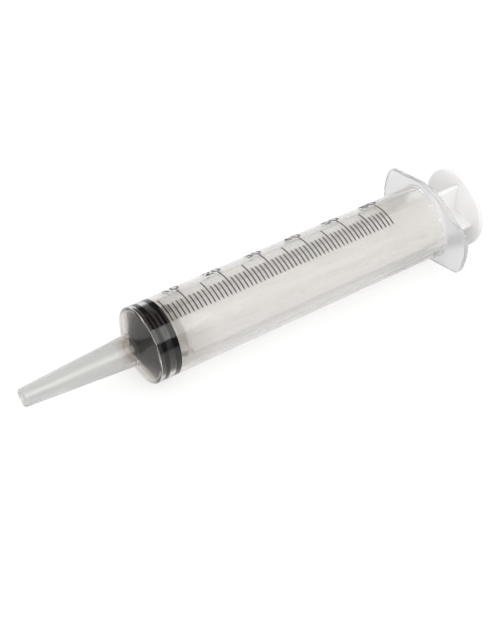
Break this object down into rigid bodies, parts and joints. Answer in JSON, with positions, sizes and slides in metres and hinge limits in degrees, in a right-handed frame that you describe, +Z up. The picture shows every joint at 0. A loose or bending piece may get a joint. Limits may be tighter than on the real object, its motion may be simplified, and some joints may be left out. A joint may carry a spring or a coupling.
{
  "type": "catheter tip syringe",
  "caption": "Three-piece syringe with a long tapered catheter tip, a translucent graduated barrel with a finger flange, a ribbed rubber stopper and a cross-vaned plunger.",
  "frame": {"origin": "centre of the catheter tip's opening, on the syringe's axis", "axes": "+X along the axis from the tip to the thumb press, so the plunger is drawn towards +X; +Y along the finger flange; +Z up, out of the side that carries the scale"},
  "size_m": [0.1955, 0.0506, 0.0326],
  "materials": {
    "barrel_plastic": "clear-moulded, faintly milky polypropylene",
    "ink": "printed, dark grey-brown",
    "stopper_rubber": "smooth black rubber with a thin film of lubricant",
    "rod_plastic": "natural translucent polypropylene"
  },
  "bodies": {
    "barrel_body": {"barrel": "barrel_plastic", "scale_lines": "ink", "scale_numerals": "ink"},
    "stopper_body": {"stopper": "stopper_rubber"},
    "rod_body": {"plunger_rod": "rod_plastic"}
  },
  "joints": [
    {"name": "plunger_slide", "type": "slide", "parent": "barrel_body", "child": "stopper_body", "axis": [1, 0, 0], "range_m": [-0.0007, 0.119]},
    {"name": "plunger_spin", "type": "hinge", "parent": "stopper_body", "child": "rod_body", "pos_m": [0.0569, 0, 0], "axis": [1, 0, 0], "continuous": true}
  ]
}
